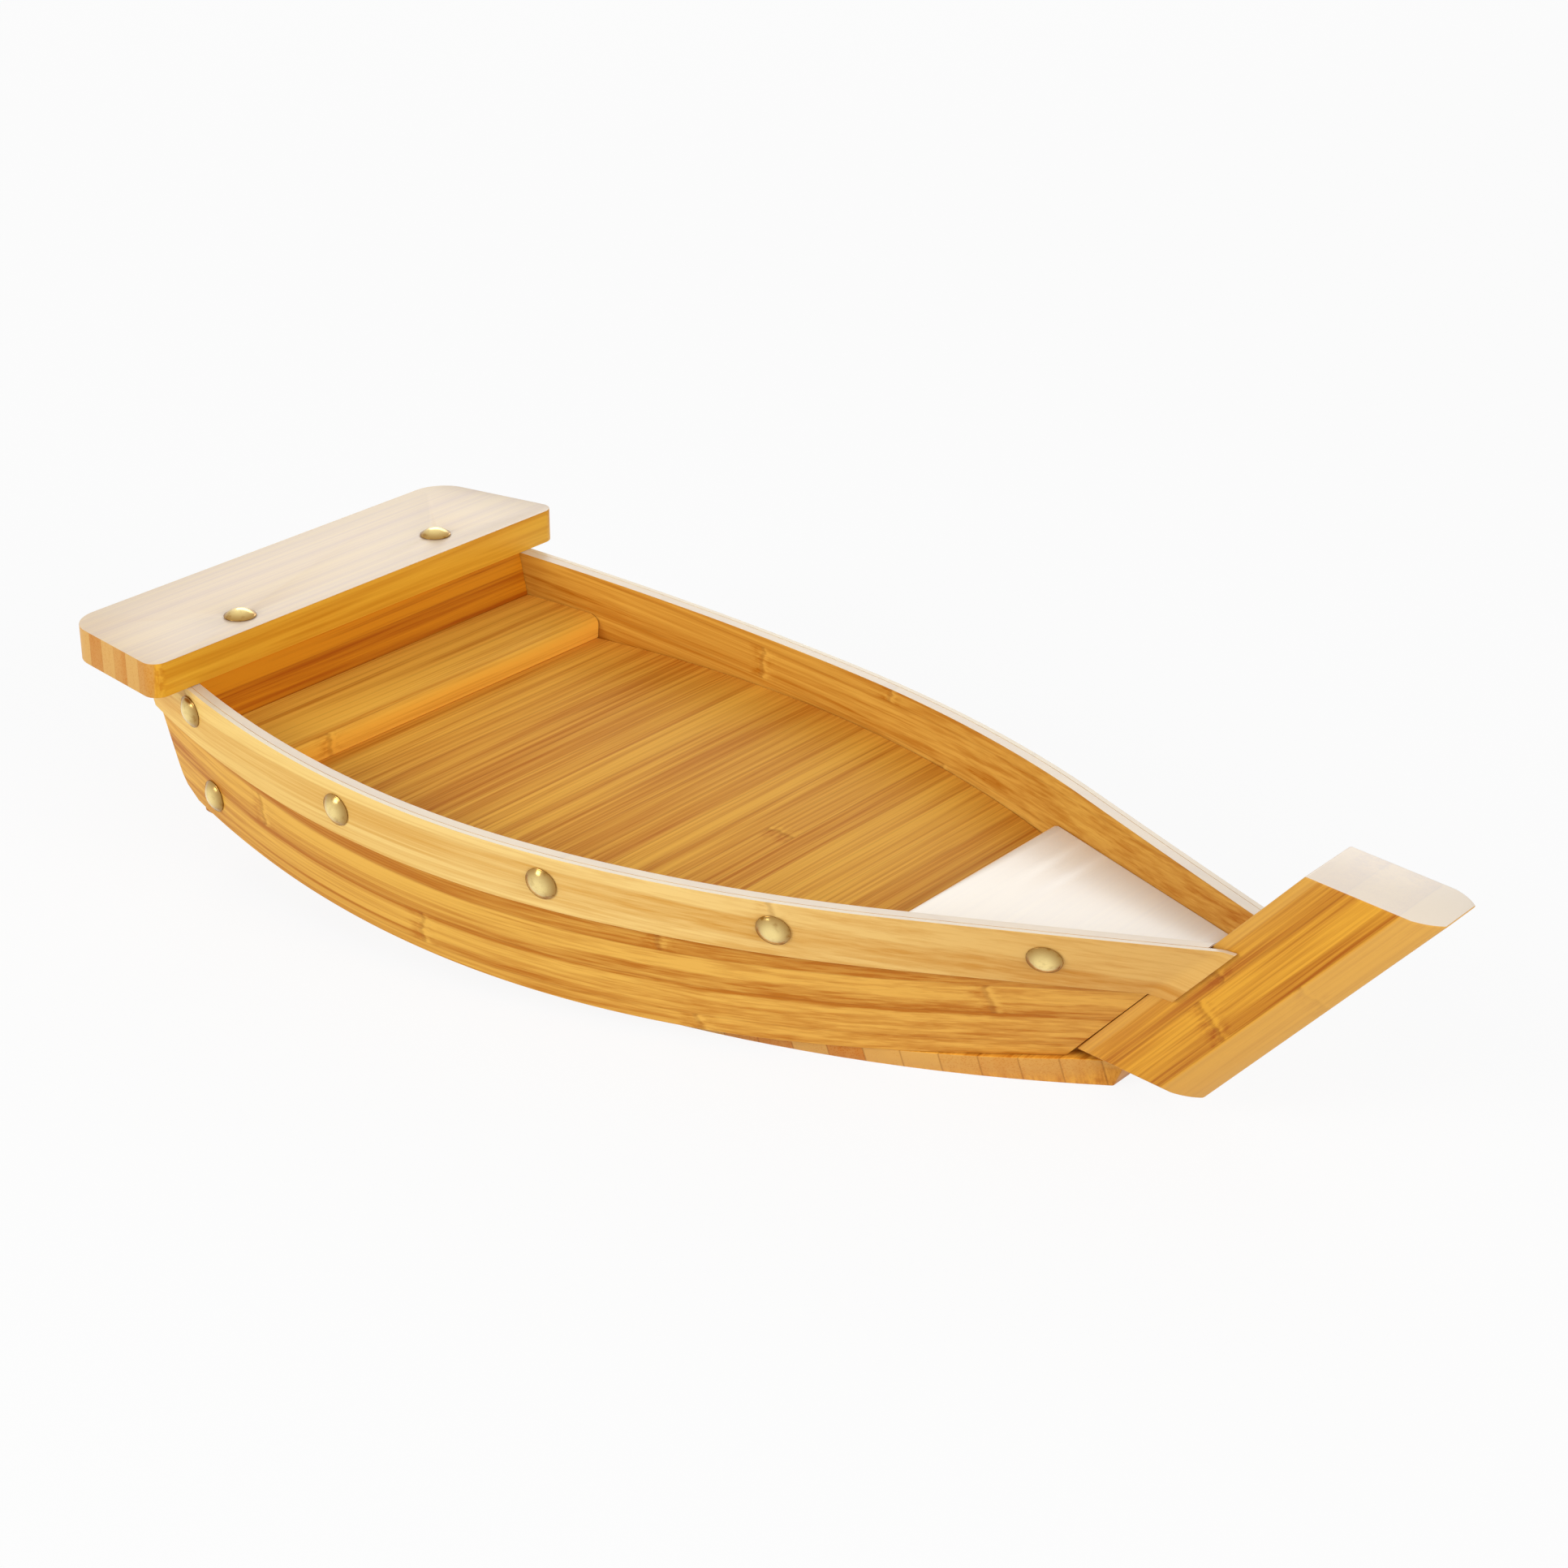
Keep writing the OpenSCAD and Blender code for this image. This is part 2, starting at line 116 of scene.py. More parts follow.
class BoatLines(bpy.types.PropertyGroup):
    """The curves and thicknesses that the side boards follow"""
    half_beam: length("Half Beam", "Outside half width at the widest station", 81.6)
    beam_x: length("Beam Station", "Station of the widest section", -83.4)
    bow_angle: turn("Bow Angle", "Angle of the straight run to the bow", 24.1)
    bow_half: length("Bow Half Width", "Outside half width of the rim at the stem", 14.9)
    flare_stern: slope("Stern Flare", "Outward slope of the side at the stern", 0.08)
    flare_bow: slope("Bow Flare", "Outward slope of the side at the stem", 0.535)
    flare_from: length("Flare Start", "Station where the flare begins to grow", -130)
    flare_run: length("Flare Run", "Length over which the flare grows", 270)
    sheer_z: length("Rim Height", "Height of the rim at its lowest", 53)
    sheer_x: length("Low Rim Station", "Station of the lowest rim", -30)
    sheer_stern: length("Stern Rise", "Rise of the rim over 200 mm toward the stern", 18)
    sheer_bow: length("Bow Rise", "Rise of the rim over 150 mm toward the bow", 2)
    rim_top: length("Rim Cut", "Height at which the rim is cut flat under the bar", 61.2)
    keel_z: length("Lower Edge Height", "Height of the lower edge at its lowest", 4.9)
    keel_x: length("Low Edge Station", "Station of the lowest lower edge", 15)
    keel_stern: length("Lower Edge Stern Rise", "Rise over 100 mm toward the stern", 4.6)
    keel_bow: length("Lower Edge Bow Rise", "Rise over 100 mm toward the bow", 5.6)
    plank_t: length("Plank Thickness", "Thickness of a side plank", 3.2)
    strake_t: length("Strake Thickness", "Thickness of a strake with its glue line", 1.7)
    strake_h: length("Strake Depth", "Depth of a strake from the rim", 17.4)
    strake_h_bow: length("Strake Extra", "Extra depth toward the bow over 150 mm", 1)
    strake_lap: length("Strake Lap", "Length of strake over the side of the stem", 7.2)
    tail_back: length("Tail", "Distance of the aft corners behind the transom's front",
                      12.8)
    tail_rake: turn("Tail Rake", "Rake of the aft ends", 23)
    tail_round: length("Tail Rounding", "Rounding of the planks' lower aft corner", 14)
    stem_x: length("Stem Station", "Station of the stem's aft lower corner", 108.6)
    stem_foot: length("Stem Foot", "Height of the stem's aft lower corner", 11.9)
    stem_rake: turn("Stem Rake", "Rake of the stem from upright", 42.1)
    stem_t: length("Stem Thickness", "Thickness of the stem", 22.1)
    transom_x: length("Transom Station", "Station of the transom's front face", -164.2)
    transom_rake: turn("Transom Rake", "Rake of the transom from upright", 14)
    bar_top: length("Bar Top", "Height of the bar's top", 71.8)
    seat: length("Seat", "Clearance between pieces that seat on each other", 0.2)
    lay_x: length("Plank Grain Station", "Station where the planks' grain is lowest", -20)
    lay_stern: length("Plank Grain Stern Rise", "Rise of the grain over 100 mm aft", 6)
    lay_bow: length("Plank Grain Bow Rise", "Rise of the grain over 100 mm forward", 2.9)
    strake_lay_x: length("Strake Grain Station", "Station where the strakes' grain is "
                         "nearest the rim", -55)
    strake_lay: length("Strake Grain Fall", "Fall of the grain from the rim over 100 mm",
                       2.8)


class BoatNails(bpy.types.PropertyGroup):
    """The domed nails and where they stand"""
    head_d: length("Head", "Diameter of the domed heads", 9.8)
    head_h: length("Dome", "Height of the domed heads", 2.2)
    shank_d: length("Shank", "Diameter of the shanks", 2.2)
    tack_x: bpy.props.FloatVectorProperty(
        name="Tack Stations", description="Stations of the side tacks", size=5,
        default=(-0.1637, -0.095, -0.022, 0.0438, 0.1092))
    aft_drop: length("Aft Tack Drop", "Depth of the aftmost tack below the rim", 7.3)
    tack_drop: length("Tack Drop", "Depth of the other tacks below the rim", 9)
    edge_back: length("Side Nail Set", "Distance of the side nails behind the transom's "
                      "front face", 3.8)
    edge_z: length("Side Nail Height", "Height of the side nails", 26.7)
    bar_back: bpy.props.FloatVectorProperty(
        name="Bar Nail Set", description="Distance of the starboard and port bar nails "
        "behind the transom's front face", size=2, default=(0.0093, 0.012))
    bar_y: length("Bar Nail Width", "Half distance between the bar nails", 42.5)


class BoatFinish(bpy.types.PropertyGroup):
    """The colours and grain of the boat"""
    plank_light: colour("Plank Light", "Pale fibres of the planks", 226, 174, 78)
    plank_dark: colour("Plank Dark", "Dark fibres of the planks", 180, 108, 16)
    strake_light: colour("Strake Light", "Pale fibres of the strakes", 238, 204, 128)
    strake_dark: colour("Strake Dark", "Dark fibres of the strakes", 208, 150, 56)
    stem_light: colour("Stem Light", "Pale fibres of the stem", 224, 162, 50)
    stem_dark: colour("Stem Dark", "Dark fibres of the stem", 164, 84, 4)
    board_light: colour("Board Light", "Pale fibres of the decks and the base", 240, 178, 66)
    board_dark: colour("Board Dark", "Dark fibres of the decks and the base", 188, 104, 6)
    bar_light: colour("Bar Light", "Pale fibres of the stern bar", 236, 180, 56)
    bar_dark: colour("Bar Dark", "Dark fibres of the stern bar", 190, 112, 2)
    # The transom's tones are darker and redder than the bar's though it is the same bamboo:
    # partly painted shade from the bar above it
    transom_light: colour("Transom Light", "Pale fibres of the transom", 212, 134, 22)
    transom_dark: colour("Transom Dark", "Dark fibres of the transom", 166, 82, 4)
    end_light: colour("End Grain", "Pale tone of cut ends", 212, 162, 84)
    # Painted sheen: the pale tone of faces that look up, standing for the reflection of the
    # bright studio in their gloss
    painted_top_sheen: colour("Top Tone", "Bleached tone of the faces that look up", 234, 224, 206)
    # Painted sheen of the foredeck and the stem's top, paler still than the other tops
    painted_fore_sheen: colour("Foredeck Tone", "Bleached tone of the foredeck", 253, 247, 235)
    brass: colour("Brass", "Colour of the polished domes", 248, 222, 150)
    # Darker edges of the domes: partly tarnish, partly painted shade that makes the heads
    # look domed
    brass_edge_tarnish_and_shade: colour("Brass Rim", "Tarnished tone of the domes' edges", 150, 102, 34)
    edge_round: length("Edge Rounding", "Rounding of the boards' edges", 0.5)
    rim_round: length("Rim Rounding", "Rounding of the planks' and strakes' edges", 0.15)


# Shader expressions

class Link:
    """A socket that can be used in an expression on numbers."""

    def __init__(self, graph, socket):
        self.graph = graph
        self.socket = socket

    def math(self, operation, *values):
        inputs = {i: v for i, v in enumerate(values)}
        return self.graph.add("ShaderNodeMath", {"operation": operation}, inputs)

    def __add__(self, other):
        return self.math("ADD", self, other)

    def __sub__(self, other):
        return self.math("SUBTRACT", self, other)

    def __rsub__(self, other):
        return self.math("SUBTRACT", other, self)

    def __mul__(self, other):
        return self.math("MULTIPLY", self, other)

    def __truediv__(self, other):
        return self.math("DIVIDE", self, other)

    def __gt__(self, other):
        return self.math("GREATER_THAN", self, other)

    def __abs__(self):
        return self.math("ABSOLUTE", self)

    __radd__ = __add__
    __rmul__ = __mul__

    def floor(self):
        return self.math("FLOOR", self)

    def fraction(self):
        return self.math("FRACT", self)

    def clamp(self):
        return self.graph.add("ShaderNodeClamp", {}, {"Value": self})

    def rise(self, low, high):
        """0 below low, 1 above high, smooth between them."""
        return self.graph.add(
            "ShaderNodeMapRange", {"interpolation_type": "SMOOTHSTEP"},
            {"Value": self, "From Min": low, "From Max": high, "To Min": 0.0, "To Max": 1.0})


class Graph:
    """The nodes of one material or of the world."""

    def __init__(self, owner):
        """Empties the node tree of a material or world."""
        self.owner = owner
        owner.use_nodes = True
        self.tree = owner.node_tree
        self.tree.nodes.clear()

    def add(self, kind, settings, inputs, output=0):
        """Adds a node: first its settings, then the values or links of its sockets."""
        node = self.tree.nodes.new(kind)
        for key, value in settings.items():
            if key == "stops":
                self.set_stops(node.color_ramp, value)
            else:
                setattr(node, key, value)
        for key, value in inputs.items():
            if isinstance(value, Link):
                self.tree.links.new(value.socket, node.inputs[key])
            else:
                node.inputs[key].default_value = value
        return None if output is None else Link(self, node.outputs[output])

    @staticmethod
    def set_stops(ramp, stops):
        """Fills a colour ramp with pairs of a position and a grey value or a colour."""
        while len(ramp.elements) > 1:
            ramp.elements.remove(ramp.elements[-1])
        for i, (position, value) in enumerate(stops):
            element = ramp.elements[0] if i == 0 else ramp.elements.new(position)
            element.position = position
            element.color = value if isinstance(value, tuple) else grey(value)

    def noise(self, x, y, z, detail=3.0, roughness=0.6):
        """Smooth noise round 0.5 at a point given by three numbers."""
        point = self.add("ShaderNodeCombineXYZ", {}, {0: x, 1: y, 2: z})
        return self.add("ShaderNodeTexNoise", {"noise_dimensions": "3D"},
                        {"Vector": point, "Scale": 1.0, "Detail": detail,
                         "Roughness": roughness})

    def chance(self, value):
        """A steady random number from 0 to 1 for each value."""
        return self.add("ShaderNodeTexWhiteNoise", {"noise_dimensions": "1D"}, {"W": value})

    def mix(self, first, second, factor, blend="MIX"):
        """Two colours mixed by a factor from 0 to 1."""
        return self.add("ShaderNodeMix", {"data_type": "RGBA", "blend_type": blend},
                        {0: factor, 6: first, 7: second}, 2)

    def tinted(self, base, tint, share):
        """A colour multiplied by a tint for a share from 0 to 1."""
        return self.mix(base, self.mix(base, tint, 1.0, "MULTIPLY"), share)

    def ramp(self, stops, place):
        """The colour of a ramp at a place from 0 to 1."""
        return self.add("ShaderNodeValToRGB", {"stops": stops}, {0: place})

    def part(self, vector, index=0):
        """One component of a vector or colour."""
        return self.add("ShaderNodeSeparateXYZ", {}, {0: vector}, index)

    def seen_directly(self):
        """1 for what the camera sees, also in or through a shiny surface, and 0 for light."""
        rays = [self.add("ShaderNodeLightPath", {}, {}, ray)
                for ray in ("Is Camera Ray", "Is Glossy Ray", "Is Transmission Ray")]
        return (rays[0] + rays[1] + rays[2]).clamp()

    def surface(self, shader, kind="ShaderNodeOutputMaterial"):
        """Ends the graph in a shader and gives back its material or world."""
        self.add(kind, {}, {"Surface": shader}, None)
        return self.owner


def grey(value):
    """An opaque grey."""
    return (value, value, value, 1)


def share_of(value, span):
    """Where a value lies between the two ends of a span, from 0 to 1."""
    return (value - span[0]) / (span[1] - span[0])


def knot_marks(g, along, across, depth, seed, knot_gap, shift, present):
    """The ring, pale lip, dark side and mottled wood where each strip has a knot."""
    wobble = (g.noise(along * 60, across * 260, depth * 260 + seed) - 0.5) * 0.006
    gap = ((along / knot_gap + shift).fraction() - 0.5) * knot_gap + wobble
    back = 0 - gap
    ring = (1 - abs(gap).rise(0.0001, 0.0014)) * present * 0.4
    pale = gap.rise(0.0003, 0.001) * (1 - gap.rise(0.0014, 0.003)) * present
    blot = back.rise(0.0002, 0.001) * (1 - back.rise(0.0015, 0.007)) * present
    mottle = g.noise(along * 260, across * 620, depth * 620 + seed) - 0.5
    return ring, pale, blot, mottle * (1 - abs(gap).rise(0.001, 0.008)) * present


def bamboo(name, light, dark, strip, bands, span, seed=0.0, flow=6.0, patch=0.4, joint=0.25,
           knots=0.4, knot_gap=0.21, contrast=1.0, deep=1.0, rough=0.42, coat=0.04,
           tints=None, tans=None, end_axis=None, end_light=None, top=None, sheen_share=0.6,
           top_coat=0.6):
    """Bamboo strips with fibres, knots and glue lines, laid out by each mesh's grain.

    Bands give the darkness across the span, tans the share of end_light there, and
    tints a colour along the boat. Faces square to end_axis show end grain, and faces
    that look up take more coat and a pale tone of painted sheen, given by top.
    """
    g = Graph(bpy.data.materials.new(name))
    grain = g.add("ShaderNodeAttribute", {"attribute_name": "grain"}, {}, "Vector")
    along, across, depth = g.part(grain, 0), g.part(grain, 1), g.part(grain, 2) * deep
    facing = g.add("ShaderNodeNewGeometry", {}, {}, "Normal")

    # Strips, each with its own tone and its own knots
    wander = g.noise(along * 9, across * 40, depth * 40 + seed, 2.0) - 0.5
    lane = across / strip + seed
    row = (lane + wander * 0.03).floor()
    tone = g.chance(row + 0.5) - 0.5
    shift = g.chance(row * 1.7 + 7.3)
    present = g.chance(row * 2.3 + 1.9) > 1 - knots

    # Fibres, from broad to fine
    bend = across + wander * 0.0008
    broad = g.noise(along * flow, bend * 330, depth * 330 + seed)
    streaks = g.noise(along * flow * 2, bend * 1100, depth * 1100 + seed, 2.0)
    fine = g.noise(along * 26, bend * 2600, depth * 2600, 2.0, 0.7)
    dash = g.noise(along * 70, across * 3000, depth * 3000 + seed, 1.0)

    ring, pale, blot, mottle = knot_marks(g, along, across, depth, seed, knot_gap, shift,
                                          present)
    line = abs(lane.fraction() - 0.5).rise(0.5 - 0.00035 / strip, 0.5) * joint

    # Colour of the long faces
    band = share_of(across, span)
    level = g.part(g.ramp(bands, band))
    shade = (level + tone * patch + (broad.rise(0.34, 0.66) - 0.5) * 0.55 * contrast
             + (streaks.rise(0.4, 0.62) - 0.5) * 0.4 * contrast
             + (fine - 0.5) * 0.6 * contrast + blot * 0.4 * fine - pale * 0.2
             + mottle * 1.5)
    fleck = broad.rise(0.55, 0.7) * dash.rise(0.5, 0.65) * 0.3 * contrast
    base = g.mix(light, dark, (shade + fleck).clamp())
    if tints:
        tint = g.ramp(tints, share_of(along, FULL_LENGTH))
        base = g.mix(base, tint, 1.0, "MULTIPLY")
    base = g.tinted(base, GLUE_TINT, (line + ring).clamp())
    if tans:
        base = g.mix(base, end_light, g.part(g.ramp(tans, band)))

    # Colour of the cut ends, and the painted sheen on the tops
    up = g.part(facing, 2).rise(0.75, 0.95)
    if end_axis:
        cut = abs(g.add("ShaderNodeVectorMath", {"operation": "DOT_PRODUCT"},
                        {0: facing, 1: end_axis}, "Value"))
        pores = g.add("ShaderNodeTexVoronoi", {"feature": "F1"},
                      {"Vector": grain, "Scale": 1500.0}, "Distance")
        speck = ((1 - pores.rise(0.15, 0.5)) * 0.3 + tone * 0.8 + (broad - 0.5) * 0.5
                 + level * 0.5)
        end = g.mix(end_light, dark, speck.clamp())
        base = g.mix(base, g.tinted(end, GLUE_TINT, line), cut.rise(0.7, 0.85))
    # Faces that look up are mixed toward a pale tone: painted sheen standing for the gloss
    # reflecting the bright studio
    if top:
        base = g.mix(base, top, up * sheen_share)

    # Relief and sheen
    height = fine * 0.4 + broad * 0.4 - line * 0.5 + ring * 0.5 - pale * 0.2
    bump = g.add("ShaderNodeBump", {}, {"Strength": 0.25, "Distance": 0.0003,
                                        "Height": height})
    gloss = rough + (fine - 0.5) * 0.14 + ring * 0.15
    return g.surface(g.add("ShaderNodeBsdfPrincipled", {}, {
        "Base Color": base, "Roughness": gloss, "Normal": bump,
        "Coat Weight": coat + up * (top_coat - coat), "Coat Roughness": 0.3,
        "Coat IOR": 1.5, "IOR": 1.45, "Specular IOR Level": 0.2}))


# Shapes

class Hull:
    """The side curves, as in the part's source."""

    def __init__(self, lines):
        """Works out the plan's radius and where its straight run begins."""
        self.lines = lines
        bow = self.stem_aft(lines.sheer_z + lines.sheer_bow) - lines.beam_x
        angle = lines.bow_angle
        self.side_r = ((bow * math.tan(angle) - lines.half_beam + lines.bow_half)
                       / (1 / math.cos(angle) - 1))
        self.bow_run_x = lines.beam_x + self.side_r * math.sin(angle)
        self.rim_t = lines.plank_t + lines.strake_t

    def plan_y(self, x):
        """Half width outside the strake at the rim."""
        q = self.lines
        if x < self.bow_run_x:
            reach = math.sqrt(self.side_r ** 2 - (x - q.beam_x) ** 2)
            return q.half_beam - self.side_r + reach
        return (q.half_beam - self.side_r * (1 - math.cos(q.bow_angle))
                - (x - self.bow_run_x) * math.tan(q.bow_angle))

    def plan_angle(self, x):
        """Angle between the side and the boat's middle line in plan."""
        return math.asin((min(x, self.bow_run_x) - self.lines.beam_x) / self.side_r)

    def flare(self, x):
        """Outward slope of the side."""
        q = self.lines
        grow = max(0, x - q.flare_from) / q.flare_run
        return q.flare_stern + (q.flare_bow - q.flare_stern) * grow ** 2

    def sheer(self, x):
        """Height of the rim's curve."""
        q = self.lines
        if x < q.sheer_x:
            return q.sheer_z + q.sheer_stern * ((q.sheer_x - x) / STERN_RUN) ** 2
        return q.sheer_z + q.sheer_bow * ((x - q.sheer_x) / BOW_RUN) ** 2

    def rim(self, x):
        """Height of the rim, cut flat under the bar."""
        return min(self.sheer(x), self.lines.rim_top)

    def keel(self, x):
        """Height of the planks' lower edge."""
        q = self.lines
        rise = q.keel_stern if x < q.keel_x else q.keel_bow
        return q.keel_z + rise * ((x - q.keel_x) / EDGE_RUN) ** 2

    def strake_edge(self, x):
        """Height of the strakes' lower edge."""
        q = self.lines
        return (self.sheer(x) - q.strake_h
                - q.strake_h_bow * (max(0, x - q.sheer_x) / BOW_RUN) ** 2)

    def side_y(self, x, z, inset):
        """Half width at a height, at a depth into the side from its outer face."""
        return (self.plan_y(x) + self.flare(x) * (z - self.sheer(x))
                - inset / math.cos(self.plan_angle(x)))

    def stem_aft(self, z):
        """Station of the stem's aft face at a height."""
        return self.lines.stem_x + (z - self.lines.stem_foot) * math.tan(self.lines.stem_rake)


def bisect(test, low, high, steps=40):
    """Where test turns from negative to positive between low and high."""
    for _ in range(steps):
        middle = (low + high) / 2
        if test(middle) < 0:
            low = middle
        else:
            high = middle
    return (low + high) / 2


def tail_outline(hull, radius):
    """The aft end of a side board, whose lower corner is rounded.

    Gives a function for its height at a station, and where it meets the lower edge.
    """
    q = hull.lines
    tail_x = q.transom_x - q.tail_back
    foot = Vector((tail_x, hull.keel(tail_x)))
    up = Vector((-math.tan(q.tail_rake), 1)).normalized()
    fall = 2 * q.keel_stern * (q.keel_x - tail_x) / EDGE_RUN ** 2
    down = Vector((1, -fall)).normalized()
    half = up.angle(down) / 2
    centre = foot + (up + down).normalized() * radius / math.sin(half)
    high = foot + up * radius / math.tan(half)
    low = foot + down * radius / math.tan(half)

    def height(x):
        """Height of the aft end at a station."""
        if x <= high.x:
            return foot.y + (foot.x - x) / math.tan(q.tail_rake)
        side = min(1, abs(x - centre.x) / radius)
        return centre.y - radius * math.sqrt(1 - side ** 2)
    return height, low.x


def add_object(name, data):
    """A new object in the scene."""
    piece = bpy.data.objects.new(name, data)
    bpy.context.scene.collection.objects.link(piece)
    return piece


def mesh_object(name, points, faces):
    """A new object with a mesh of these points and faces."""
    mesh = bpy.data.meshes.new(name)
    mesh.from_pydata(points, [], faces)
    mesh.update()
    return add_object(name, mesh)


def set_grain(piece, grain):
    """Stores for each point its distance along, across and through the grain."""
    store = piece.data.attributes.new("grain", "FLOAT_VECTOR", "POINT")
    for i, vertex in enumerate(piece.data.vertices):
        store.data[i].vector = grain(vertex.co)


def finish_piece(piece, node, material, rounding):
    """Rounds the edges of a piece, gives it its finish and sets it on the boat."""
    piece.data.materials.clear()
    piece.data.materials.append(material)
    for face in piece.data.polygons:
        face.use_smooth = True
    if rounding:
        bevel = piece.modifiers.new("Edges", "BEVEL")
        bevel.width = rounding
        bevel.segments = BEVEL_SEGMENTS
        bevel.limit_method = "ANGLE"
        bevel.angle_limit = SHARP_EDGE
        bevel.harden_normals = True
    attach(piece, "root")
    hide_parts(node)


def side_board(name, hull, side, low_edge, depths, fore_cut, corner, columns, rows, width):
    """A board bent along one side of the hull.

    It runs from low_edge up to the rim and from the tail to fore_cut. Its two faces lie
    at depths into the side, and width gives their half widths.
    """
    aft_height, aft_x = tail_outline(hull, corner)
    outer, inner = [], []
    for j in range(rows + 1):
        share = j / rows

        def row_z(x):
            """Height of this row of points at a station."""
            return low_edge(x) + share * (hull.rim(x) - low_edge(x))

        start = bisect(lambda x: row_z(x) - aft_height(x), FULL_LENGTH[0], aft_x)
        end = bisect(lambda x: x - fore_cut(row_z(x)), *FORE_HALF)
        for i in range(columns + 1):
            x = start + (end - start) * i / columns
            z = row_z(x)
            outer.append((x, side * width(x, z, depths[0], True), z))
            inner.append((x, side * width(x, z, depths[1], False), z))
    count = len(outer)
    across = columns + 1
    faces = []
    for j in range(rows):
        for i in range(columns):
            a = j * across + i
            quad = [a, a + 1, a + across + 1, a + across]
            faces.append(quad[::-1])
            faces.append([k + count for k in quad])
    ring = (list(range(across))
            + [j * across + columns for j in range(1, rows + 1)]
            + [rows * across + i for i in range(columns - 1, -1, -1)]
            + [j * across for j in range(rows - 1, 0, -1)])
    for a, b in zip(ring, ring[1:] + ring[:1]):
        faces.append([a, b, b + count, a + count])
    if side > 0:
        faces = [face[::-1] for face in faces]
    piece = mesh_object(name, outer + inner, faces)
    shape = bmesh.new()
    shape.from_mesh(piece.data)
    bmesh.ops.recalc_face_normals(shape, faces=shape.faces)
    shape.to_mesh(piece.data)
    shape.free()
    return piece


def copy_of(node, name):
    """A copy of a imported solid, with its flat faces joined up again."""
    shape = bmesh.new()
    shape.from_mesh(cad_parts[node].data)
    bmesh.ops.remove_doubles(shape, verts=shape.verts, dist=WELD_GAP)
    bmesh.ops.dissolve_limit(shape, angle_limit=FLAT_JOIN, verts=shape.verts,
                             edges=shape.edges)
    mesh = bpy.data.meshes.new(name)
    shape.to_mesh(mesh)
    shape.free()
    return add_object(name, mesh)


# Operators

class BOAT_OT_planks(bpy.types.Operator):
    """Builds the two bent side planks"""
    bl_idname = "boat.planks"
    bl_label = "Side Planks"

    def execute(self, context):
        lines, finish = context.scene.boat_lines, context.scene.boat_finish
        hull = Hull(lines)
        wood = bamboo("plank_wood", finish.plank_light, finish.plank_dark, strip=0.0099,
                      bands=[(0, 0.45), (0.26, 0.4), (0.28, 0.62), (0.3, 0.26),
                             (0.46, 0.3), (0.48, 0.95), (0.51, 0.7), (0.6, 0.6),
                             (0.63, 0.12), (0.76, 0.25), (0.78, 0.8), (0.9, 0.75),
                             (0.94, 0.5), (1, 0.4)],
                      span=(0.001, 0.0378), seed=72.04, flow=3.0, patch=0.1, joint=0.2,
                      knots=1.0, knot_gap=0.225, contrast=0.8,
                      tints=[(0.0, (1, 0.97, 0.75, 1)), (0.35, (1, 1, 0.9, 1)),
                             (0.55, PLAIN), (0.8, (0.94, 0.88, 0.86, 1)),
                             (1.0, (0.94, 0.88, 0.86, 1))],
                      top=finish.painted_top_sheen, sheen_share=0.75)

        def lay(p):
            """Where a point lies across the planks' curved grain."""
            rise = lines.lay_stern if p.x < lines.lay_x else lines.lay_bow
            return p.z - rise * ((p.x - lines.lay_x) / EDGE_RUN) ** 2

        for side, word in SIDES:
            piece = side_board(
                f"side_plank_{word}", hull, side, low_edge=hull.keel,
                depths=(lines.strake_t, hull.rim_t),
                fore_cut=lambda z: hull.stem_aft(z) - lines.seat,
                corner=lines.tail_round, columns=200, rows=18,
                width=lambda x, z, inset, out: hull.side_y(x, z, inset))
            set_grain(piece, lambda p: (p.x, lay(p), (p.y + side) * THROUGH))
            finish_piece(piece, f"plank_{word}", wood, finish.rim_round)
        return {"FINISHED"}


class BOAT_OT_strakes(bpy.types.Operator):
    """Builds the two rubbing strakes along the rim"""
    bl_idname = "boat.strakes"
    bl_label = "Strakes"

    def execute(self, context):
        lines, finish = context.scene.boat_lines, context.scene.boat_finish
        hull = Hull(lines)
        wood = bamboo("strake_wood", finish.strake_light, finish.strake_dark, strip=0.0076,
                      bands=[(0, 0.3), (0.4, 0.25), (0.44, 0.5), (0.78, 0.6), (0.84, 0.2),
                             (1, 0.15)],
                      span=(-0.0195, 0.0), seed=8.474, flow=3.0, patch=0.08, joint=0.06,
                      knots=0.3, contrast=0.6,
                      tints=[(0.0, (1, 0.97, 0.75, 1)), (0.4, PLAIN),
                             (0.55, (0.98, 0.95, 0.92, 1)), (0.8, (0.83, 0.69, 0.53, 1)),
                             (1.0, (0.83, 0.69, 0.53, 1))],
                      top=finish.painted_top_sheen, sheen_share=0.75)

        def lay(p):
            """Where a point lies across the strakes' curved grain."""
            fall = lines.strake_lay * ((p.x - lines.strake_lay_x) / EDGE_RUN) ** 2
            return p.z - hull.sheer(p.x) + fall

        def width(x, z, inset, out):
            """Half width of the outer or inner face, which passes outside the stem."""
            least = lines.stem_t / 2 + (lines.strake_t if out else lines.seat)
            return max(least, hull.side_y(x, z, inset))

        for side, word in SIDES:
            piece = side_board(
                f"rim_strake_{word}", hull, side, low_edge=hull.strake_edge,
                depths=(0, lines.strake_t - GLUE_GAP),
                fore_cut=lambda z: hull.stem_aft(z) + lines.strake_lap,
                corner=MM, columns=220, rows=8, width=width)
            set_grain(piece, lambda p: (p.x, lay(p), (p.y + side) * THROUGH))
            finish_piece(piece, f"strake_{word}", wood, finish.rim_round)
        return {"FINISHED"}


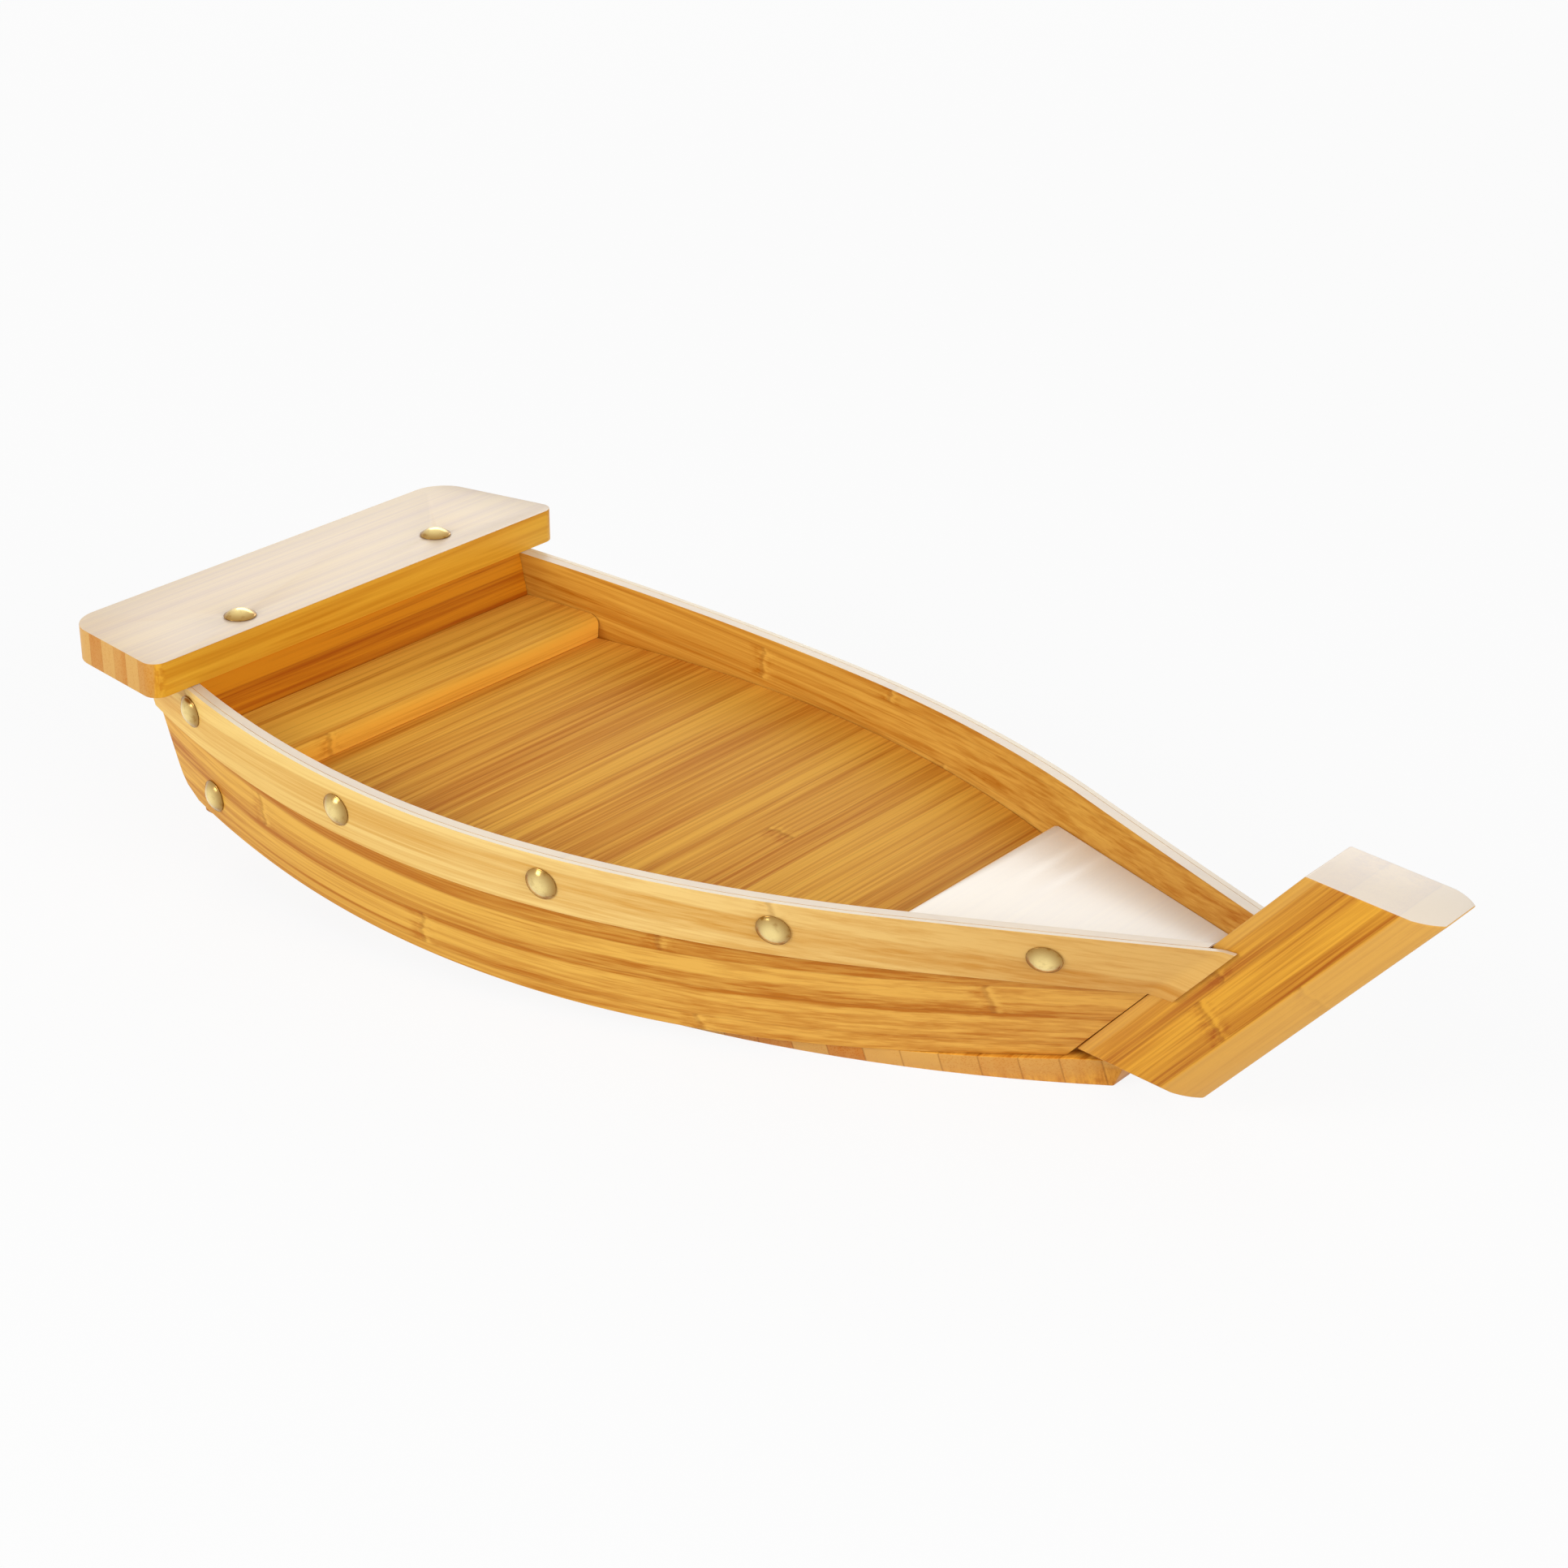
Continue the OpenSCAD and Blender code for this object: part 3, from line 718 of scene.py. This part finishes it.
class BOAT_OT_stem(bpy.types.Operator):
    """Dresses the raked stem"""
    bl_idname = "boat.stem"
    bl_label = "Stem"

    def execute(self, context):
        lines, finish = context.scene.boat_lines, context.scene.boat_finish
        # The stem's top takes the foredeck's painted sheen
        wood = bamboo("stem_wood", finish.stem_light, finish.stem_dark, strip=0.0118,
                      bands=[(0, 0.05), (0.08, 0.1), (0.1, 0.35), (0.3, 0.45), (0.33, 0.3),
                             (0.55, 0.2), (0.62, 0.6), (0.7, 0.7), (0.72, 0.2), (1, 0.1)],
                      span=(0.0, 0.0296), seed=153.237, flow=7.0, patch=0.1, joint=0.35,
                      tans=[(0, 0.5), (0.09, 0.5), (0.11, 0.15), (0.33, 0.0),
                            (0.71, 0.0), (0.73, 0.7), (1, 0.7)],
                      knots=1.0, knot_gap=0.1, contrast=0.9,
                      end_axis=(math.sin(lines.stem_rake), 0, math.cos(lines.stem_rake)),
                      end_light=finish.end_light, top=finish.painted_fore_sheen, sheen_share=0.72)
        rake = lines.stem_rake
        foot = Vector((lines.stem_x, 0, lines.stem_foot))
        up = Vector((math.sin(rake), 0, math.cos(rake)))
        out = Vector((math.cos(rake), 0, -math.sin(rake)))
        piece = copy_of("stem", "raked_stem")
        set_grain(piece, lambda p: ((p - foot).dot(up), (p - foot).dot(out), p.y))
        finish_piece(piece, "stem", wood, finish.edge_round)
        return {"FINISHED"}


class BOAT_OT_stern(bpy.types.Operator):
    """Dresses the transom and the bar that caps the stern"""
    bl_idname = "boat.stern"
    bl_label = "Transom and Bar"

    def execute(self, context):
        lines, finish = context.scene.boat_lines, context.scene.boat_finish
        # Darker, redder tones: partly painted shade under the bar
        back = bamboo("transom_wood", finish.transom_light, finish.transom_dark,
                      strip=0.0082, bands=[(0, 0.55), (1, 0.35)], span=(0.011, 0.062),
                      seed=5.0, joint=0.3, knots=0.2, contrast=0.9, rough=0.6, coat=0.0,
                      end_axis=ACROSS_BOAT, end_light=finish.end_light)
        rake = lines.transom_rake
        piece = copy_of("transom", "raked_transom")
        set_grain(piece, lambda p: (p.y, p.z / math.cos(rake), p.x + p.z * math.tan(rake)))
        finish_piece(piece, "transom", back, finish.edge_round)

        cap = bamboo("bar_wood", finish.bar_light, finish.bar_dark, strip=0.0066,
                     bands=[(0, 0.3), (0.1, 0.4), (0.5, 0.5), (0.55, 0.0), (0.61, 0.0),
                            (0.64, 0.5), (1, 0.5)],
                     span=(-0.21, -0.1636), seed=1.0, flow=4.0, patch=0.25, joint=0.12,
                     knots=0.1, contrast=0.8, deep=0.35, end_axis=ACROSS_BOAT,
                     end_light=finish.end_light, top=finish.painted_top_sheen, sheen_share=0.66,
                     top_coat=0.5)
        piece = copy_of("stern_bar", "stern_cap_bar")
        set_grain(piece, lambda p: (p.y, p.x, p.z))
        finish_piece(piece, "stern_bar", cap, finish.edge_round)
        return {"FINISHED"}


class BOAT_OT_boards(bpy.types.Operator):
    """Dresses the base board and the three decks"""
    bl_idname = "boat.boards"
    bl_label = "Base and Decks"

    def execute(self, context):
        finish = context.scene.boat_finish
        # Each board has its own darkness level; the aft deck's lighter level is partly
        # painted light
        boards = (
            ("base_board", "foot_board", "base_wood", 0.4,
             {"strip": 0.0096, "seed": 13.0, "joint": 0.55, "deep": 0.3, "rough": 0.45,
              "sheen_share": 0.0, "top_coat": 0.0}),
            ("deck_board", "low_deck", "deck_wood", 0.35,
             {"strip": 0.0096, "seed": 10.4, "joint": 0.3, "rough": 0.65,
              "sheen_share": 0.0, "top_coat": 0.0}),
            # The foredeck's top is mostly painted sheen
            ("foredeck_board", "fore_deck", "foredeck_wood", 0.25,
             {"strip": 0.0088, "seed": 11.7, "joint": 0.3, "rough": 0.45,
              "sheen_share": 0.88, "top_coat": 0.9}),
            ("aft_deck_board", "aft_deck", "deck_wood", 0.2,
             {"strip": 0.0088, "seed": 10.4, "joint": 0.3, "rough": 0.65,
              "sheen_share": 0.0, "top_coat": 0.0}))
        for node, name, slot, level, grain in boards:
            wood = bamboo(name + "_wood", finish.board_light, finish.board_dark,
                          bands=[(0, level), (1, level)], span=FULL_LENGTH, knots=0.12,
                          contrast=0.8, end_axis=ACROSS_BOAT, end_light=finish.end_light,
                          top=finish.painted_fore_sheen, **grain)
            piece = copy_of(node, name)
            set_grain(piece, lambda p: (p.y, p.x, p.z))
            finish_piece(piece, node, wood, finish.edge_round)
        return {"FINISHED"}


class BOAT_OT_nails(bpy.types.Operator):
    """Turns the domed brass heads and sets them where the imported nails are"""
    bl_idname = "boat.nails"
    bl_label = "Brass Nails"

    def execute(self, context):
        finish = context.scene.boat_finish
        g = Graph(bpy.data.materials.new("nail_brass"))
        place = g.add("ShaderNodeTexCoord", {}, {}, "Object")
        cloud = g.add("ShaderNodeTexNoise", {}, {"Vector": place, "Scale": 420.0,
                                                 "Detail": 3.0})
        rim = g.add("ShaderNodeAttribute", {"attribute_name": "rim"}, {}, "Fac")
        # Darker towards each dome's edge: partly tarnish, partly painted shade that rounds
        # the dome; the noise spots are tarnish
        tarnish_and_shade = (cloud.rise(0.5, 0.8) * 0.3 + rim.rise(0.2, 1.1) * 0.9).clamp()
        tint = g.mix(finish.brass, finish.brass_edge_tarnish_and_shade, tarnish_and_shade)
        brass = g.surface(g.add("ShaderNodeBsdfPrincipled", {}, {
            "Base Color": tint, "Metallic": 1.0, "Roughness": 0.14 + cloud * 0.14}))
        lines, nails = context.scene.boat_lines, context.scene.boat_nails
        for node, places in nail_places(Hull(lines), nails).items():
            points, faces, reach = [], [], []
            for middle, axis in places:
                add_dome(points, faces, reach, middle + axis * lines.seat / 2, axis,
                         nails.head_d / 2, nails.head_h, nails.shank_d / 2)
            piece = mesh_object(node + "_domes", points, faces)
            piece.data.attributes.new("rim", "FLOAT", "POINT").data.foreach_set(
                "value", reach)
            finish_piece(piece, node, brass, 0)
        return {"FINISHED"}


def nail_places(hull, nails):
    """Middle of the head's underside and outward direction of each nail, by group."""
    q = hull.lines

    def on_sides(x, z, inset):
        """The places of a nail to port and its mirror image to starboard."""
        a = hull.plan_angle(x)
        out = Vector((math.sin(a), math.cos(a), -hull.flare(x) * math.cos(a))).normalized()
        spot = Vector((x, hull.side_y(x, z, inset), z))
        flip = Vector((1, -1, 1))
        return [(spot, out), (spot * flip, out * flip)]

    tacks = []
    for i, x in enumerate(nails.tack_x):
        drop = nails.tack_drop if i else nails.aft_drop
        tacks += on_sides(x, hull.sheer(x) - drop, 0)
    edge_x = (q.transom_x + (q.rim_top - nails.edge_z) * math.tan(q.transom_rake)
              - nails.edge_back)
    bar = [(Vector((q.transom_x - back, y, q.bar_top)), Vector((0, 0, 1)))
           for back, y in zip(nails.bar_back, (-nails.bar_y, nails.bar_y))]
    return {"side_tacks": tacks, "transom_nails": on_sides(edge_x, nails.edge_z, q.strake_t),
            "bar_nails": bar}


def add_dome(points, faces, reach, middle, axis, radius, height, neck, around=48,
             rings=14):
    """Adds a domed head with a small rolled rim and a short neck under it.

    For each point, reach says how far it is from the head's middle, from 0 to 1.
    """
    side = axis.orthogonal().normalized()
    other = axis.cross(side)
    ball = (radius ** 2 + height ** 2) / (2 * height)
    roll = 0.25 * MM
    neck_depth = 0.8 * MM
    profile = [(neck, -neck_depth), (neck, 0.0), (radius * 0.97, 0.0), (radius, roll / 2)]
    widest = math.asin(radius * 0.99 / ball)
    for i in range(rings):
        angle = widest * (1 - i / rings)
        profile.append((ball * math.sin(angle),
                        max(roll, height - ball * (1 - math.cos(angle)))))
    first = len(points)
    for r, h in profile:
        for k in range(around):
            angle = 2 * math.pi * k / around
            points.append(middle + axis * h
                          + (side * math.cos(angle) + other * math.sin(angle)) * r)
            reach.append(r / radius)
    for j in range(len(profile) - 1):
        for k in range(around):
            a, b = first + j * around + k, first + j * around + (k + 1) % around
            faces.append([a, b, b + around, a + around])
    top = first + (len(profile) - 1) * around
    points.append(middle + axis * height)
    reach.append(0.0)
    crown = len(points) - 1
    for k in range(around):
        faces.append([top + k, top + (k + 1) % around, crown])
    faces.append([first + k for k in range(around)][::-1])


class BOAT_OT_stage(bpy.types.Operator):
    """Sets up the pale floor, the soft lights and the camera"""
    bl_idname = "boat.stage"
    bl_label = "Studio"

    def execute(self, context):
        scene = context.scene
        corners = ((-1, -1), (1, -1), (1, 1), (-1, 1))
        floor = mesh_object("floor", [(x * FLOOR_HALF, y * FLOOR_HALF, 0)
                                      for x, y in corners], [[0, 1, 2, 3]])
        g = Graph(bpy.data.materials.new("floor_paper"))
        paper = g.add("ShaderNodeBsdfDiffuse", {}, {"Color": grey(FLOOR_GREY)})
        glow = g.add("ShaderNodeEmission", {}, {"Color": grey(1.0), "Strength": 1.0})
        floor.data.materials.append(g.surface(g.add("ShaderNodeMixShader", {}, {
            0: g.seen_directly() * FLOOR_GLOW, 1: paper, 2: glow})))

        scene.world = bpy.data.worlds.new("studio")
        g = Graph(scene.world)
        strength = g.seen_directly() * (1 - AMBIENT) + AMBIENT
        g.surface(g.add("ShaderNodeBackground", {}, {"Color": grey(1.0),
                                                     "Strength": strength}),
                  "ShaderNodeOutputWorld")

        for name, place, size, power, glossy in LAMPS:
            data = bpy.data.lights.new(name, "AREA")
            data.shape = "RECTANGLE"
            data.size, data.size_y = size
            data.energy = power
            lamp = add_object(name, data)
            lamp.location = place
            aim = LAMP_AIM - Vector(place)
            lamp.rotation_euler = aim.to_track_quat("-Z", "Y").to_euler()
            lamp.visible_camera = False
            lamp.visible_glossy = glossy

        lens = bpy.data.cameras.new("camera")
        lens.lens = LENS_MM
        lens.sensor_width = SENSOR_MM
        camera = add_object("camera", lens)
        camera.location = CAMERA_PLACE
        camera.rotation_euler = CAMERA_TURN
        scene.camera = camera
        scene.view_settings.view_transform = "Standard"
        return {"FINISHED"}


class BOAT_PT_panel(bpy.types.Panel):
    """Lists the boat's pieces"""
    bl_idname = "BOAT_PT_panel"
    bl_label = "Serving Boat"
    bl_space_type = "VIEW_3D"
    bl_region_type = "UI"
    bl_category = "Serving Boat"

    def draw(self, context):
        """Shows a button for each group of pieces and every setting."""
        for operator in OPERATORS:
            self.layout.operator(operator.bl_idname)
        scene = context.scene
        for group in (scene.boat_lines, scene.boat_nails, scene.boat_finish):
            box = self.layout.box()
            for name in group.__annotations__:
                box.prop(group, name)


OPERATORS = (BOAT_OT_planks, BOAT_OT_strakes, BOAT_OT_stem, BOAT_OT_stern, BOAT_OT_boards,
             BOAT_OT_nails, BOAT_OT_stage)
CLASSES = (BoatLines, BoatNails, BoatFinish) + OPERATORS + (BOAT_PT_panel,)


def register():
    """Adds the settings, the operators and the panel."""
    for cls in CLASSES:
        bpy.utils.register_class(cls)
    bpy.types.Scene.boat_lines = bpy.props.PointerProperty(type=BoatLines)
    bpy.types.Scene.boat_nails = bpy.props.PointerProperty(type=BoatNails)
    bpy.types.Scene.boat_finish = bpy.props.PointerProperty(type=BoatFinish)


def unregister():
    """Takes them away again."""
    del bpy.types.Scene.boat_finish
    del bpy.types.Scene.boat_nails
    del bpy.types.Scene.boat_lines
    for cls in reversed(CLASSES):
        bpy.utils.unregister_class(cls)


def main():
    """Builds the whole scene."""
    register()
    for operation in (bpy.ops.boat.planks, bpy.ops.boat.strakes, bpy.ops.boat.stem,
                      bpy.ops.boat.stern, bpy.ops.boat.boards, bpy.ops.boat.nails,
                      bpy.ops.boat.stage):
        operation()


if __name__ == "__main__":
    main()
